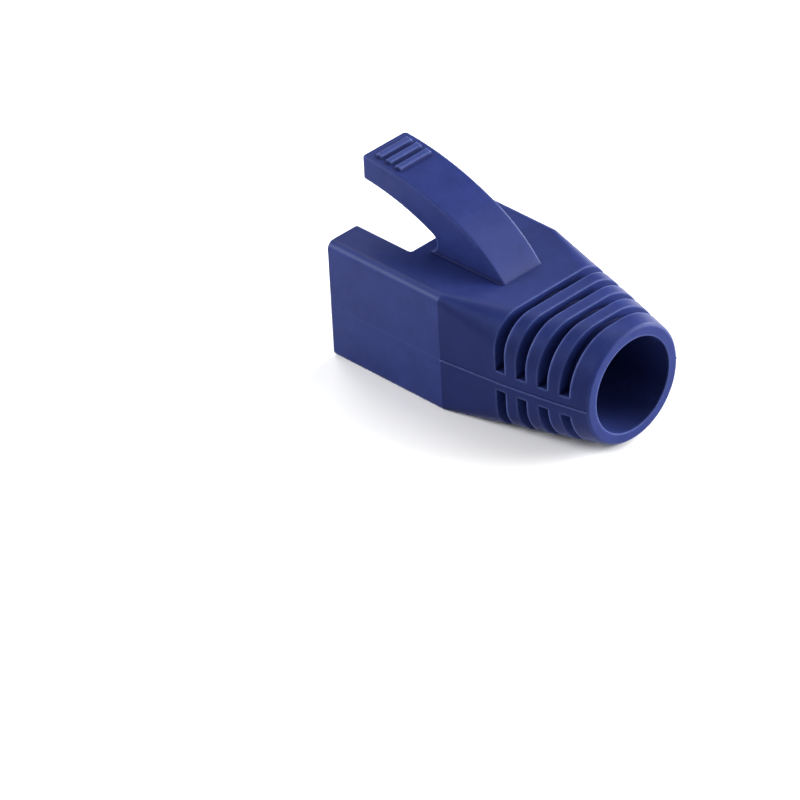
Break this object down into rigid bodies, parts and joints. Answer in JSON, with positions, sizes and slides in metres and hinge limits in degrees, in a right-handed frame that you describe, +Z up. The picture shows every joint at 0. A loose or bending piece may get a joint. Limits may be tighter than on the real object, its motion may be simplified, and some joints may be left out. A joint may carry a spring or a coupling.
{
  "type": "rj45 strain relief boot",
  "caption": "Moulded strain relief boot for a modular network plug, with a curved latch guard, a ribbed tapering tail and a round cable collar.",
  "frame": {"origin": "on the base plane, midway along the boot and across it", "axes": "+X from the plug mouth to the cable collar, +Y across the plug, +Z up through the latch guard"},
  "size_m": [0.028, 0.0144, 0.0177],
  "materials": {
    "soft_pvc": "matt, fine moulded texture"
  },
  "bodies": {
    "root": {"boot": "soft_pvc"}
  },
  "joints": []
}
